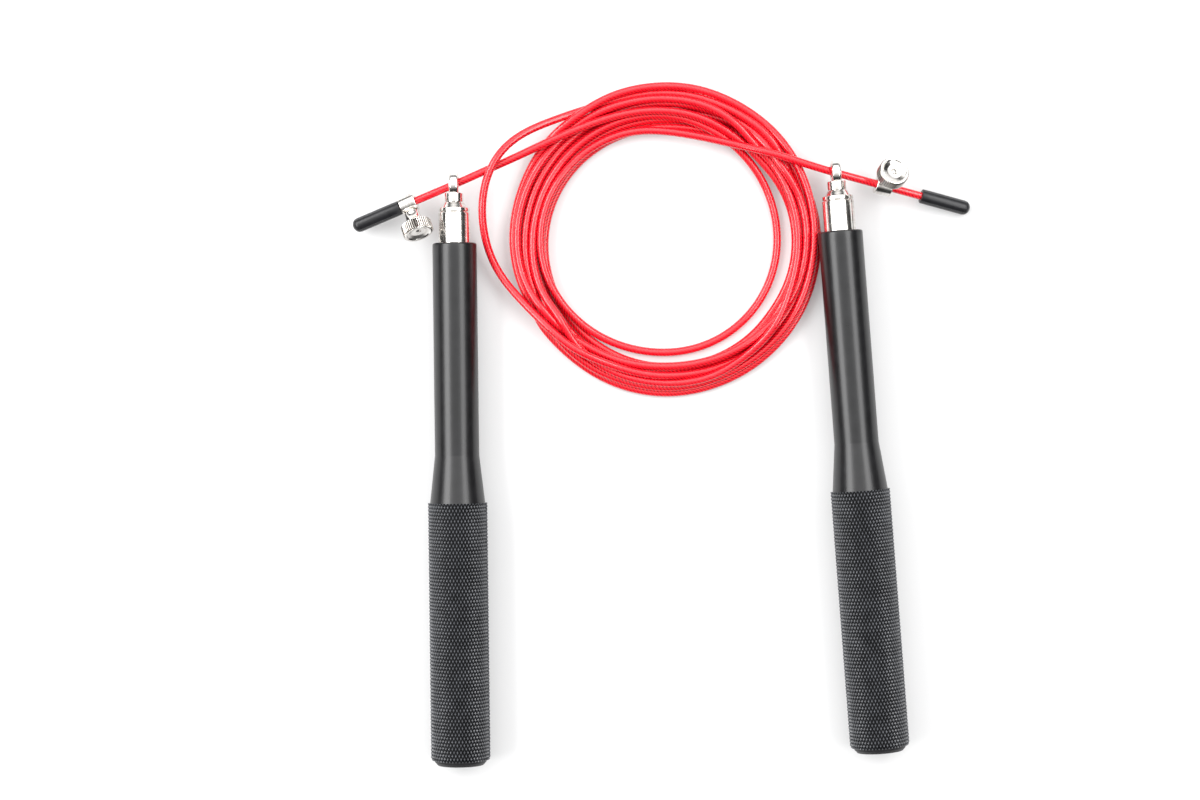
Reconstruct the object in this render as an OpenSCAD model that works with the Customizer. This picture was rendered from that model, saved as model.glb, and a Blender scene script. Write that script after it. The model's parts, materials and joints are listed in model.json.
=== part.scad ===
// Speed jump rope: two bearing handles and a coated cable wound in a loose coil between them.
// Millimetres. +Z is up, the floor is z = 0, and the origin is the middle of the pair of handles.

/* [Handle] */
// Diameter of the smooth front barrel
barrel_d = 14; // [12:0.5:16]
// Length of the smooth front barrel
barrel_length = 67; // [50:1:90]
// Length of the cone between the barrel and the grip
cone_length = 15; // [8:1:25]
// Diameter of the cone where it meets the grip
cone_d = 17.4; // [16:0.2:18]
// Diameter over the grip
grip_d = 18.7; // [18.4:0.1:24]
// Length of the grip
grip_length = 81; // [60:1:110]
// Diameter of the bore along the handle
handle_bore_d = 11; // [11:0.1:11.5]
// Thickness of the visible end of the butt plug
plug_flange = 2; // [1:0.5:4]
// Depth of the butt plug's stem in the handle
plug_stem = 10; // [6:1:20]

/* [Head] */
// Diameter of the bearing housing where it shows
snout_d = 10; // [9.8:0.1:10.8]
// Length of the bearing housing that shows
snout_length = 9.6; // [9.4:0.1:12]
// Length of the bearing housing inside the handle
housing_depth = 12; // [12:0.5:16]
// Diameter of the nose cap's rim
rim_d = 9.7; // [9:0.1:9.9]
// Diameter of the swivel collar under the eye
collar_d = 5.9; // [5.4:0.1:6.2]
// Distance from the handle's mouth to the centre of the eye
eye_reach = 18.5; // [18.2:0.1:20]
// Diameter of the hole in the eye
eye_hole_d = 4; // [4:0.1:4.4]
// Outer diameter of the eye
eye_d = 7.9; // [7.6:0.1:8.6]
// Thickness of the eye along its hole
eye_thickness = 3.15; // [2.8:0.05:3.2]
// Diameter of the spindle behind the eye
spindle_d = 3; // [3]

/* [Bearing] */
// Outer diameter of a ball bearing
bearing_d = 8; // [8]
// Width of a ball bearing
bearing_w = 4; // [4]
// Diameter of one ball
ball_d = 1.5; // [1.4:0.05:1.5]
// Number of balls in one bearing
ball_count = 7; // [6:1:7]

/* [Cable] */
// Diameter over the cable's coating
cable_d = 2.5; // [2:0.1:2.5]
// Outer diameter of the coil
coil_d = 98.8; // [96:0.2:99]
// Width of the bundle of turns
coil_w = 10.8; // [8:0.2:14]
// Height of the bundle of turns
coil_h = 6.4; // [5:0.2:6.4]

/* [Cable ends] */
// Diameter of a stop collar
stop_d = 6; // [5.8:0.1:6.4]
// Length of a stop collar
stop_length = 5.2; // [4.6:0.1:5.2]
// Diameter of a thumb screw's head
screw_head_d = 9.8; // [9:0.1:9.9]
// Distance from the cable's middle to the face of a thumb screw
screw_reach = 11.2; // [10.6:0.1:11.2]
// Diameter of an end cap
cap_d = 4.8; // [4.4:0.1:4.8]
// Length of an end cap
cap_length = 16.4; // [14:0.2:16.4]

/* [Layout] */
// Turn of the left handle away from straight
left_turn = 0.7; // [0:0.1:1]
// Turn of the right handle away from straight
right_turn = 4.4; // [4.2:0.1:4.6]
// Tilt of the left thumb screw, up from level
left_screw_roll = 22; // [-10:1:30]
// Tilt of the right thumb screw, up from level
right_screw_roll = 66; // [60:1:90]

/* [Hidden] */
$fn = 64;
SIDES = ["left", "right"];
SUBPARTS = [
    "handle_tube", "butt_plug", "bearing_housing", "nose_cap",
    "front_outer_race", "rear_outer_race", "front_inner_race", "rear_inner_race",
    "front_balls", "rear_balls", "front_ball_cage", "rear_ball_cage",
    "spacer_sleeve", "eye_bolt", "thrust_washer", "lock_nut",
    "stop_collar", "thumb_screw", "end_cap"
];

// Handle and head, along the handle's own axis: 0 is the mouth, plus is towards the eye.
axis_height = grip_d / 2;
press_gap = 0.02;
running_gap = 0.3;
edge_chamfer = 0.4;
grip_front = -barrel_length - cone_length;
grip_back = grip_front - grip_length;
plug_edge = 0.9;
plug_face_r = grip_d / 2 - 2;
front_seat = snout_length - 0.6;
front_bearing = front_seat - bearing_w / 2;
rear_bearing = -housing_depth + bearing_w / 2;
shoulder_r = bearing_d / 2 - 0.4;
rim_top = snout_length + 1.5;
cone_top = rim_top + 1.7;
cone_base_r = rim_d / 2 - 0.9;
collar_base = cone_top + 0.2;
collar_top = collar_base + 2.8;
neck_r = 2;
eye_band = (eye_d - eye_hole_d) / 2;
washer_t = 0.5;
nut_t = 3.8;
nut_flats = 5.5;
spindle_end = -housing_depth - washer_t - nut_t - 0.9;

// Bearing section, round the middle of its width.
pitch_r = 2.775;
groove_r = ball_d / 2 + 0.04;
inner_land_r = 2.3;
outer_land_r = 3.25;
cage_in_r = inner_land_r + 0.12;
cage_out_r = outer_land_r - 0.13;
cage_back = -1.3;
cage_front = 0.2;
pocket_r = ball_d / 2 + 0.05;

// Thumb screw, along its own axis from the cable's middle.
screw_tip = cable_d / 2 + 0.2;
screw_shank_r = 1.5;
screw_neck_r = 2.35;
screw_neck = stop_d / 2 + 0.3;
screw_rim = 7.6;
flare_r = 3.4;
dish_depth = 0.5;

// Where the left and the right parts lie.
left_mouth = [-67.8, 69.3, axis_height];
right_mouth = [53.9, 73.1, axis_height];
cable_drop = 0.55;
left_heading = 202.5;
right_heading = -14.4;
left_slope = -6.5;
right_slope = -8.5;
left_stop_at = 15.7;
right_stop_at = 16;
left_cap_at = 18.5;
right_cap_at = 28.6;
coil_centre = [-1.1, 70.6];

function is_left(side) = side == "left";
function mouth(side) = is_left(side) ? left_mouth : right_mouth;
function turn(side) = is_left(side) ? left_turn : right_turn;
function heading(side) = is_left(side) ? left_heading : right_heading;
function slope(side) = is_left(side) ? left_slope : right_slope;
function stop_at(side) = is_left(side) ? left_stop_at : right_stop_at;
function cap_at(side) = is_left(side) ? left_cap_at : right_cap_at;
function screw_roll(side) = is_left(side) ? left_screw_roll : right_screw_roll;

// The point where the cable's middle line passes through an eye.
function eye_point(side) =
    mouth(side)
    + eye_reach * [-sin(turn(side)), cos(turn(side)), 0]
    - [0, 0, cable_drop];

// The direction of a tail from its eye towards its end cap.
function tail_direction(side) = [
    cos(slope(side)) * cos(heading(side)),
    cos(slope(side)) * sin(heading(side)),
    sin(slope(side))
];

// A point of a tail's straight stretch, at a distance from the eye towards the end cap.
function tail_point(side, distance) = eye_point(side) + distance * tail_direction(side);

// The stretch from an end cap through its stop and eye and on to the coil.
left_route = concat(
    [for (distance = [32, 26, 20, 14, 8, 2, -5]) tail_point("left", distance)],
    [[-57, 92.4, 8.8], [-51.5, 95, 7.6], [-45.5, 98, 6], [-40, 100.5, 4.4]]
);
right_route = concat(
    [for (distance = [42, 36, 30, 24, 18, 12, 6, 0, -5]) tail_point("right", distance)],
    [[42.5, 95, 8.8], [37.5, 96.2, 6.8], [33, 97.2, 4.4]]
);

module at_handle(side) {
    translate(mouth(side)) rotate([0, 0, turn(side)]) rotate([-90, 0, 0]) children();
}

module at_tail(side, distance) {
    translate(tail_point(side, distance))
        rotate([0, 0, heading(side)])
        rotate([0, 90 - slope(side), 0])
        children();
}

// The stop's frame turned so that +Z is the way its thumb screw points.
module at_screw(side) {
    at_tail(side, stop_at(side))
        rotate([0, 0, screw_roll(side)])
        rotate([-90, 0, 0])
        children();
}

// A ring or a disc between two heights along +Z.
module ring(outer_r, inner_r, low, high) {
    translate([0, 0, low]) difference() {
        cylinder(r = outer_r, h = high - low);
        translate([0, 0, -1]) cylinder(r = inner_r, h = high - low + 2);
    }
}

module handle_tube(side) {
    color([0.09, 0.09, 0.1]) at_handle(side) difference() {
        rotate_extrude() polygon([
            [0, 0],
            [barrel_d / 2 - edge_chamfer, 0],
            [barrel_d / 2, -edge_chamfer],
            [barrel_d / 2, -barrel_length],
            [cone_d / 2, grip_front],
            [grip_d / 2, grip_front - edge_chamfer],
            [grip_d / 2, grip_back + edge_chamfer],
            [grip_d / 2 - edge_chamfer, grip_back],
            [0, grip_back]
        ]);
        translate([0, 0, grip_back - 1])
            cylinder(d = handle_bore_d, h = 2 - grip_back);
    }
}

module butt_plug(side) {
    color([0.07, 0.07, 0.07]) at_handle(side) rotate_extrude() polygon([
        [0, grip_back - plug_flange],
        [plug_face_r, grip_back - plug_flange],
        [plug_face_r + plug_edge, grip_back - plug_flange + plug_edge],
        [plug_face_r + plug_edge, grip_back],
        [handle_bore_d / 2 - press_gap, grip_back],
        [handle_bore_d / 2 - press_gap, grip_back + plug_stem],
        [0, grip_back + plug_stem]
    ]);
}

module bearing_housing(side) {
    color([0.8, 0.8, 0.8]) at_handle(side) difference() {
        union() {
            translate([0, 0, -housing_depth])
                cylinder(d = handle_bore_d - 2 * press_gap, h = housing_depth);
            cylinder(d = snout_d, h = snout_length);
        }
        translate([0, 0, -housing_depth - 1])
            cylinder(r = shoulder_r, h = housing_depth + snout_length + 2);
        translate([0, 0, front_seat - bearing_w])
            cylinder(d = bearing_d, h = snout_length);
        translate([0, 0, -housing_depth - 1])
            cylinder(d = bearing_d, h = bearing_w + 1);
    }
}

module nose_cap(side) {
    color([0.82, 0.82, 0.82]) at_handle(side) difference() {
        rotate_extrude() polygon([
            [0, front_seat + press_gap],
            [bearing_d / 2 - press_gap, front_seat + press_gap],
            [bearing_d / 2 - press_gap, snout_length],
            [rim_d / 2, snout_length],
            [rim_d / 2, rim_top - edge_chamfer / 2],
            [rim_d / 2 - edge_chamfer / 2, rim_top],
            [cone_base_r, rim_top],
            [collar_d / 2 + 0.15, cone_top],
            [0, cone_top]
        ]);
        cylinder(r = neck_r + running_gap, h = cone_top + 1);
    }
}

module outer_race(side, middle) {
    color([0.6, 0.6, 0.62]) at_handle(side) translate([0, 0, middle]) difference() {
        ring(bearing_d / 2 - press_gap, outer_land_r, -bearing_w / 2, bearing_w / 2);
        rotate_extrude() translate([pitch_r, 0]) circle(r = groove_r);
    }
}

module inner_race(side, middle) {
    color([0.6, 0.6, 0.62]) at_handle(side) translate([0, 0, middle]) difference() {
        ring(inner_land_r, spindle_d / 2 + press_gap, -bearing_w / 2, bearing_w / 2);
        rotate_extrude() translate([pitch_r, 0]) circle(r = groove_r);
    }
}

// Places its children at each ball of a bearing.
module at_balls() {
    for (ball = [0 : ball_count - 1])
        rotate([0, 0, ball * 360 / ball_count])
            translate([pitch_r, 0, 0])
            children();
}

module balls(side, middle) {
    color([0.75, 0.75, 0.77]) at_handle(side) translate([0, 0, middle])
        at_balls() sphere(d = ball_d);
}

module ball_cage(side, middle) {
    color([0.7, 0.55, 0.25]) at_handle(side) translate([0, 0, middle]) difference() {
        ring(cage_out_r, cage_in_r, cage_back, cage_front);
        at_balls() sphere(r = pocket_r);
    }
}

module spacer_sleeve(side) {
    color([0.65, 0.65, 0.65]) at_handle(side)
        ring(
            inner_land_r - 0.2,
            spindle_d / 2 + press_gap,
            rear_bearing + bearing_w / 2,
            front_bearing - bearing_w / 2
        );
}

// The eye's band: a ring about +Z with fully rounded edges.
module eye_ring() {
    round_r = eye_band / 2;
    flat = eye_thickness / 2 - round_r;
    rotate_extrude() translate([eye_hole_d / 2 + round_r, 0]) union() {
        translate([0, flat]) circle(r = round_r);
        translate([0, -flat]) circle(r = round_r);
        square([2 * round_r, 2 * flat], center = true);
    }
}

module eye_bolt(side) {
    color([0.85, 0.85, 0.85]) at_handle(side) union() {
        translate([0, 0, eye_reach]) rotate([0, 90, 0]) eye_ring();
        rotate_extrude() polygon([
            [0, spindle_end],
            [spindle_d / 2, spindle_end],
            [spindle_d / 2, front_seat],
            [neck_r, front_seat],
            [neck_r, collar_base],
            [collar_d / 2, collar_base],
            [collar_d / 2, collar_top - 2 * edge_chamfer],
            [collar_d / 2 - 2 * edge_chamfer, collar_top],
            [0, collar_top]
        ]);
    }
}

module thrust_washer(side) {
    color([0.55, 0.55, 0.55]) at_handle(side)
        ring(
            2.6,
            spindle_d / 2 + press_gap,
            -housing_depth - washer_t,
            -housing_depth
        );
}

module lock_nut(side) {
    color([0.5, 0.5, 0.52]) at_handle(side)
        translate([0, 0, -housing_depth - washer_t - nut_t])
        difference() {
            cylinder(d = nut_flats / cos(30), h = nut_t, $fn = 6);
            translate([0, 0, -1]) cylinder(r = spindle_d / 2 + press_gap, h = nut_t + 2);
        }
}

module stop_collar(side) {
    color([0.82, 0.82, 0.82]) difference() {
        at_tail(side, stop_at(side)) difference() {
            cylinder(d = stop_d, h = stop_length, center = true);
            cylinder(r = cable_d / 2 + 0.25, h = stop_length + 2, center = true);
        }
        at_screw(side) cylinder(r = screw_shank_r + 0.05, h = stop_d);
    }
}

module thumb_screw(side) {
    rim_r = screw_head_d / 2;
    color([0.85, 0.85, 0.85]) at_screw(side) difference() {
        rotate_extrude() difference() {
            polygon([
                [0, screw_tip],
                [screw_shank_r, screw_tip],
                [screw_shank_r, screw_neck],
                [screw_neck_r, screw_neck],
                [screw_neck_r, screw_rim - flare_r],
                [rim_r, screw_rim],
                [rim_r, screw_reach - edge_chamfer],
                [rim_r - edge_chamfer, screw_reach],
                [0, screw_reach]
            ]);
            translate([screw_neck_r + flare_r, screw_rim - flare_r]) circle(r = flare_r);
        }
        translate([0, 0, screw_reach - dish_depth])
            cylinder(r1 = 2.4, r2 = rim_r - 0.9, h = dish_depth + 0.01);
    }
}

module end_cap(side) {
    round_r = cap_d / 2;
    color([0.08, 0.08, 0.09]) at_tail(side, cap_at(side)) difference() {
        union() {
            cylinder(r = round_r, h = cap_length - round_r);
            translate([0, 0, cap_length - round_r]) sphere(r = round_r);
        }
        translate([0, 0, -1]) cylinder(d = cable_d, h = cap_length - 2);
    }
}

// One round section of a tube: its points in the plane across the route at one of its points.
function unit(v) = v / norm(v);
function along(route, i) = unit(
    route[min(i + 1, len(route) - 1)] - route[max(i - 1, 0)]
);
function across(route, i) = unit(cross([0, 0, 1], along(route, i)));
function section(route, i, sides) = [
    for (k = [0 : sides - 1])
        route[i]
        + cable_d / 2 * cos(k * 360 / sides) * across(route, i)
        + cable_d / 2 * sin(k * 360 / sides) * cross(along(route, i), across(route, i))
];

// A closed tube of the cable's diameter along a route.
module tube(route, sides = 8) {
    last = len(route) - 1;
    polyhedron(
        points = [for (i = [0 : last]) each section(route, i, sides)],
        faces = concat(
            [[for (k = [0 : sides - 1]) k]],
            [for (i = [0 : last - 1]) for (k = [0 : sides - 1]) [
                i * sides + k,
                (i + 1) * sides + k,
                (i + 1) * sides + (k + 1) % sides,
                i * sides + (k + 1) % sides
            ]],
            [[for (k = [sides - 1 : -1 : 0]) last * sides + k]]
        )
    );
}

module cable_tail(route) {
    color([0.9, 0.1, 0.12]) tube(route);
}

// The outer shape of the wound turns, lying on the floor.
module cable_coil() {
    end_r = coil_h / 2;
    flat = coil_w - coil_h;
    color([0.88, 0.08, 0.1]) translate([coil_centre[0], coil_centre[1], end_r])
        rotate_extrude() translate([coil_d / 2 - coil_w + end_r, 0]) union() {
            circle(r = end_r);
            translate([flat, 0]) circle(r = end_r);
            translate([0, -end_r]) square([flat, coil_h]);
        }
}

module draw(side, part) {
    if (part == "handle_tube") handle_tube(side);
    if (part == "butt_plug") butt_plug(side);
    if (part == "bearing_housing") bearing_housing(side);
    if (part == "nose_cap") nose_cap(side);
    if (part == "front_outer_race") outer_race(side, front_bearing);
    if (part == "rear_outer_race") outer_race(side, rear_bearing);
    if (part == "front_inner_race") inner_race(side, front_bearing);
    if (part == "rear_inner_race") inner_race(side, rear_bearing);
    if (part == "front_balls") balls(side, front_bearing);
    if (part == "rear_balls") balls(side, rear_bearing);
    if (part == "front_ball_cage") ball_cage(side, front_bearing);
    if (part == "rear_ball_cage") ball_cage(side, rear_bearing);
    if (part == "spacer_sleeve") spacer_sleeve(side);
    if (part == "eye_bolt") eye_bolt(side);
    if (part == "thrust_washer") thrust_washer(side);
    if (part == "lock_nut") lock_nut(side);
    if (part == "stop_collar") stop_collar(side);
    if (part == "thumb_screw") thumb_screw(side);
    if (part == "end_cap") end_cap(side);
}

cable_coil();
cable_tail(left_route);  // cable_left_tail
cable_tail(right_route);  // cable_right_tail
for (side = SIDES) for (part = SUBPARTS)
    draw(side, part);
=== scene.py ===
import json
import math

import bmesh
import bpy
import numpy as np
from mathutils import Matrix, Vector


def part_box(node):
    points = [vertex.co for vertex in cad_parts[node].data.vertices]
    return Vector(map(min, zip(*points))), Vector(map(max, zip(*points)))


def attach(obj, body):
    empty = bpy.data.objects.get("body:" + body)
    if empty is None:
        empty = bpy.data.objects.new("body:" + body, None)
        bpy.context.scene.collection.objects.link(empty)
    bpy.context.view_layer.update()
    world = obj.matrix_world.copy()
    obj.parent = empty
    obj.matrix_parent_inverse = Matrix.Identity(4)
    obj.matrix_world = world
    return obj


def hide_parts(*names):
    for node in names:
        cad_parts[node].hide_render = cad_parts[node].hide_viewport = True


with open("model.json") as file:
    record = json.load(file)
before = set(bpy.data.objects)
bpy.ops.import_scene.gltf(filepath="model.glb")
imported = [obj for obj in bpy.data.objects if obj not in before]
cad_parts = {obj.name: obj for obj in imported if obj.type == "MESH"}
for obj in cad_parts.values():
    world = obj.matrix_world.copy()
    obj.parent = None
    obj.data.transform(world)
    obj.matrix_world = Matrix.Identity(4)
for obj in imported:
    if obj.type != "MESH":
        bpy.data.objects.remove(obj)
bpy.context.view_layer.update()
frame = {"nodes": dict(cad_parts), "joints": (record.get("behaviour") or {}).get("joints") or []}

MM = 0.001
SIDES = ("left", "right")
JOINTS = {joint["name"]: joint for joint in frame["joints"]}


# ---------------------------------------------------------------- camera, floor and light

LENS, CAMERA_AT = 84.68, (-0.0219, 0.0198, 0.9)   # mm, m
FLOOR_HALF = 3.0
# Each softbox: where it stands, its width and its length along the handles in m, and its watts
SOFTBOXES = {"softbox_left": ((-0.91, 0.15, 0.85), (0.60, 1.3), 19),
             "softbox_right": ((0.75, 0.15, 1.00), (0.48, 1.3), 11)}
# The studio's light by direction: an axis, the stretch of it over which the light changes, and the light at
# the stretch's start and end. X counts alike to both sides.
SKY_STRIP = ("X", 0.51, 0.73, 1.5, 0.13)
SKY_SHADES = (
    ("X", 0.86, 0.93, 1.0, 0.12),    # a dark flag low down at each side
    ("Z", 0.25, 0.65, 0.05, 1.0),    # little light near the horizon
    ("Y", -0.75, -0.4, 0.08, 1.0),   # a dark flag past the handles' butt ends
    ("Y", -0.4, 0.0, 0.45, 1.0),
    ("Y", 0.0, 0.25, 1.0, 1.5),      # more light from past the coil
    ("Y", 0.25, 0.8, 1.0, 1.4),
)
SKY_DIM = 0.05                       # the least light from any direction


def make_camera():
    """Straight above the object and a little to its left, as the photograph was taken."""
    data = bpy.data.cameras.new("camera")
    data.sensor_width = 36
    data.lens = LENS
    data.clip_start = 0.05
    camera = bpy.data.objects.new("camera", data)
    camera.location = CAMERA_AT
    bpy.context.scene.collection.objects.link(camera)
    bpy.context.scene.camera = camera


def make_softbox(name, location, size, watts):
    """A large rectangular light that faces the object, with its long side along the handles."""
    data = bpy.data.lights.new(name, "AREA")
    data.shape = "RECTANGLE"
    data.size, data.size_y = size
    data.energy = watts
    light = bpy.data.objects.new(name, data)
    light.location = location
    outward = Vector(location).normalized()
    across = Vector((0, 1, 0)).cross(outward).normalized()
    light.rotation_euler = Matrix((across, outward.cross(across), outward)).transposed().to_euler()
    bpy.context.scene.collection.objects.link(light)


def make_world():
    """A studio: a bright strip overhead along the handles, dark flags round it, more light from one end."""
    world = bpy.data.worlds.new("studio")
    world.use_nodes = True
    tree = world.node_tree

    def node(kind, operation, *sources):
        made = tree.nodes.new(kind)
        if operation:
            made.operation = operation
        for number, source in enumerate(sources):
            tree.links.new(source, made.inputs[number])
        return made

    def ramp(source, start, end, low, high):
        made = node("ShaderNodeMapRange", None, source)
        for key, value in (("From Min", start), ("From Max", end), ("To Min", low), ("To Max", high)):
            made.inputs[key].default_value = value
        return made.outputs["Result"]

    direction = tree.nodes.new("ShaderNodeTexCoord").outputs["Generated"]
    split = node("ShaderNodeSeparateXYZ", None, direction).outputs
    sideways = node("ShaderNodeMath", "ABSOLUTE", split["X"]).outputs[0]
    toward = {"X": sideways, "Y": split["Y"], "Z": split["Z"]}
    strength = ramp(toward[SKY_STRIP[0]], *SKY_STRIP[1:])
    for axis, *change in SKY_SHADES:
        strength = node("ShaderNodeMath", "MULTIPLY", strength, ramp(toward[axis], *change)).outputs[0]
    least = node("ShaderNodeMath", "MAXIMUM", strength)
    least.inputs[1].default_value = SKY_DIM
    background = tree.nodes["Background"].inputs
    tree.links.new(least.outputs[0], background["Strength"])
    background["Color"].default_value = (1.0, 1.0, 1.0, 1)
    bpy.context.scene.world = world


def make_floor(material):
    """The plain surface that the object lies on."""
    corners = [(x * FLOOR_HALF, y * FLOOR_HALF, 0) for x, y in ((-1, -1), (1, -1), (1, 1), (-1, 1))]
    mesh = bpy.data.meshes.new("floor")
    mesh.from_pydata(corners, [], [(0, 1, 2, 3)])
    mesh.materials.append(material)
    floor = bpy.data.objects.new("floor", mesh)
    bpy.context.scene.collection.objects.link(floor)


# ---------------------------------------------------------------- materials

# The attribute "height" is 1 on the knurl's points, GROOVE_HEIGHT in its grooves and 0 on the smooth metal
# The last value below is the height from which the knurl's points are painted paler: partly wear, partly a
# painted highlight.
GROOVE_HEIGHT, SMOOTH_BELOW, WEAR_AND_HIGHLIGHT_FROM = 0.25, 0.2, 0.45
WIRES_SHOWN, WIRE_TURNS_PER_MM = 6.0, 0.85       # the ribs that show through the cable's coating


class Nodes:
    """A material's node tree, with short ways to add and join nodes."""

    def __init__(self, name):
        self.material = bpy.data.materials.new(name)
        self.material.use_nodes = True
        self.tree = self.material.node_tree
        self.shader = self.tree.nodes["Principled BSDF"]

    def add(self, kind, inputs=None, **settings):
        node = self.tree.nodes.new("ShaderNode" + kind)
        for key, value in settings.items():
            setattr(node, key, value)
        for key, value in (inputs or {}).items():
            if isinstance(value, bpy.types.NodeSocket):
                self.tree.links.new(value, node.inputs[key])
            else:
                node.inputs[key].default_value = value
        return node

    def math(self, operation, a, b=0.0):
        return self.add("Math", {0: a, 1: b}, operation=operation).outputs[0]

    def set(self, **values):
        for key, value in values.items():
            socket = self.shader.inputs[key.replace("_", " ")]
            if isinstance(value, bpy.types.NodeSocket):
                self.tree.links.new(value, socket)
            else:
                socket.default_value = value

    def surface(self, axis):
        """A surface's own coordinate: X is round it (0 to 1) and Y is along it (in mm)."""
        return self.add("SeparateXYZ", {0: self.add("TexCoord").outputs["UV"]}).outputs[axis]

    def place(self):
        return self.add("TexCoord").outputs["Object"]

    def noise(self, scale, detail=3.0, vector=None, roughness=0.55):
        inputs = {"Vector": vector or self.place(), "Scale": scale, "Detail": detail, "Roughness": roughness}
        return self.add("TexNoise", inputs).outputs["Fac"]

    def spread(self, value, low, high, start=0.0, end=1.0):
        """Maps value from start..end to low..high."""
        inputs = {"Value": value, "From Min": start, "From Max": end, "To Min": low, "To Max": high}
        return self.add("MapRange", inputs).outputs["Result"]

    def mix(self, factor, a, b):
        node = self.add("Mix", data_type="RGBA")
        for key, value in ((0, factor), (6, a), (7, b)):
            if isinstance(value, bpy.types.NodeSocket):
                self.tree.links.new(value, node.inputs[key])
            else:
                node.inputs[key].default_value = value
        return node.outputs[2]

    def bump(self, height, distance, strength=1.0, normal=None):
        inputs = {"Height": height, "Distance": distance, "Strength": strength}
        if normal is not None:
            inputs["Normal"] = normal
        return self.add("Bump", inputs).outputs["Normal"]

    def lathe_lines(self, along, per_mm, seed):
        """Rings left by the tool, from noise stretched all the way round."""
        vector = self.add("CombineXYZ", {"X": self.math("MULTIPLY", along, per_mm), "Y": seed}).outputs[0]
        return self.noise(1.0, 2.0, vector)


def anodised_aluminium():
    """Black anodising: satin, with the turning marks under it, and the knurl's points painted paler: partly
    wear, partly a painted highlight.
    """
    n = Nodes("anodised_aluminium")
    height = n.add("Attribute", attribute_name="height").outputs["Fac"]
    smooth_part = n.spread(height, 1.0, 0.0, 0.0, SMOOTH_BELOW)
    rings = n.math("MULTIPLY", n.lathe_lines(n.surface("Y"), 3.2, 4.0), smooth_part)
    cloud = n.noise(260, 4)
    # Painted highlight, partly wear: the knurl's points get a paler bluish grey, patchy with the cloud.
    points = n.spread(height, 0.0, 1.0, WEAR_AND_HIGHLIGHT_FROM, 1.0)
    wear_and_highlight = n.math("MULTIPLY", points, n.spread(cloud, 0.6, 1, 0.35, 0.65))
    base = n.mix(n.spread(cloud, 0, 1, 0.3, 0.7), (0.003, 0.003, 0.0035, 1), (0.007, 0.007, 0.008, 1))
    n.set(Base_Color=n.mix(n.math("MULTIPLY", wear_and_highlight, 0.8), base, (0.135, 0.141, 0.155, 1)),
          Roughness=n.math("ADD", n.spread(rings, 0.27, 0.33, 0.3, 0.7), n.spread(cloud, -0.02, 0.03)),
          IOR=1.5,
          Normal=n.bump(n.noise(3000, 2), 0.000004, 0.3, n.bump(rings, 0.000015, 0.5)))
    return n.material


def nickel_plate():
    """Bright nickel over turned brass: a mirror with faint lines, haze, and painted shade, dark brown, where
    it is inset.
    """
    n = Nodes("nickel_plate")
    rings = n.lathe_lines(n.surface("Y"), 3.6, 1.5)
    haze = n.noise(420, 5)
    # Painted shade: where the surface lies inset, in the grooves between the thumb screw's teeth, the plate
    # is darkened to a dark brown.
    groove_shade = n.spread(n.add("Attribute", attribute_name="inset").outputs["Fac"], 0.0, 1.0, 0.03, 0.16)
    plate = n.mix(haze, (0.80, 0.775, 0.74, 1), (0.88, 0.86, 0.83, 1))
    plate = n.mix(n.spread(rings, 0, 0.75, 0.45, 0.75), plate, (0.46, 0.42, 0.38, 1))
    n.set(Base_Color=n.mix(groove_shade, plate, (0.07, 0.05, 0.035, 1)), Metallic=1.0,
          Roughness=n.math("ADD", n.spread(haze, 0.08, 0.17, 0.35, 0.75), n.spread(rings, 0, 0.08)),
          Normal=n.bump(rings, 0.00003, 0.8))
    return n.material


def black_plastic():
    """The butt plug's moulded plastic: fine spark-eroded grain and slight mould flow."""
    n = Nodes("black_plastic")
    grain, flow = n.noise(2600, 3), n.noise(140, 4)
    n.set(Base_Color=n.mix(flow, (0.007, 0.007, 0.008, 1), (0.014, 0.014, 0.015, 1)),
          Roughness=n.spread(flow, 0.40, 0.52), IOR=1.38,
          Normal=n.bump(grain, 0.00002, 0.4))
    return n.material


def soft_black_cap():
    """Vinyl end cap: satin black with a soft bloom and a faint skin."""
    n = Nodes("soft_black_cap")
    bloom, skin = n.noise(320, 4), n.noise(1800, 3)
    patches = n.spread(bloom, 0, 1, 0.3, 0.7)
    n.set(Base_Color=n.mix(patches, (0.006, 0.006, 0.007, 1), (0.014, 0.014, 0.016, 1)),
          Roughness=n.spread(bloom, 0.25, 0.38), IOR=1.4, Sheen_Weight=0.03, Sheen_Roughness=0.5,
          Normal=n.bump(skin, 0.00003, 0.4))
    return n.material


def plain_metal(name, dark, light, rough, grain_scale):
    """Ground or drawn metal: two tones of metal, with grain in colour, gloss and surface."""
    n = Nodes(name)
    grain, cloud = n.noise(grain_scale, 4), n.noise(300, 3)
    n.set(Base_Color=n.mix(cloud, (*dark, 1), (*light, 1)), Metallic=1.0,
          Roughness=n.math("ADD", n.spread(grain, rough, rough + 0.14), n.spread(cloud, -0.03, 0.05)),
          Normal=n.bump(grain, 0.00001, 0.3))
    return n.material


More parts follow.
